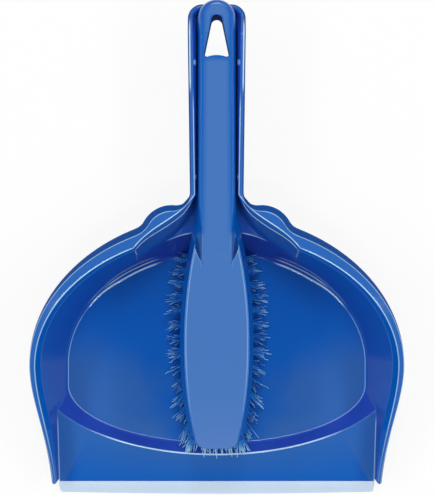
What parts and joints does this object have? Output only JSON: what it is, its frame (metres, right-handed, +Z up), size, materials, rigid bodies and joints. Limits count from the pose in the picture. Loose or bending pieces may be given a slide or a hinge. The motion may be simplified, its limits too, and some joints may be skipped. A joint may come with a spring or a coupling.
{
  "type": "dustpan with nested brush",
  "caption": "Hand dustpan with an oval bowl, soft front lip and channel handle; a hand brush with flared bristles nests in the bowl and lies in the handle.",
  "frame": {"origin": "middle of the whole set's box in x and y, on the plane the pan stands on", "axes": "+X to the right with the handle pointing away, +Y towards the end of the handle, +Z up"},
  "size_m": [0.2368, 0.3168, 0.061],
  "materials": {
    "pan_plastic": "glossy blue moulding",
    "lip_rubber": "pale blue, slightly translucent",
    "stock_plastic": "glossy blue moulding",
    "bristle_plastic": "blue filaments with pale flagged tips",
    "anchor_steel": "galvanised"
  },
  "bodies": {
    "pan": {"dustpan": "pan_plastic", "soft_lip": "lip_rubber"},
    "brush": {"brush_block": "stock_plastic", "bristle_row_left_outer": "bristle_plastic", "bristle_row_left_inner": "bristle_plastic", "bristle_row_centre": "bristle_plastic", "bristle_row_right_inner": "bristle_plastic", "bristle_row_right_outer": "bristle_plastic", "tuft_anchors": "anchor_steel"}
  },
  "joints": [
    {"name": "brush_lift", "type": "slide", "parent": "pan", "child": "brush", "axis": [0, 0, 1], "range_m": [0, 0.09]}
  ]
}
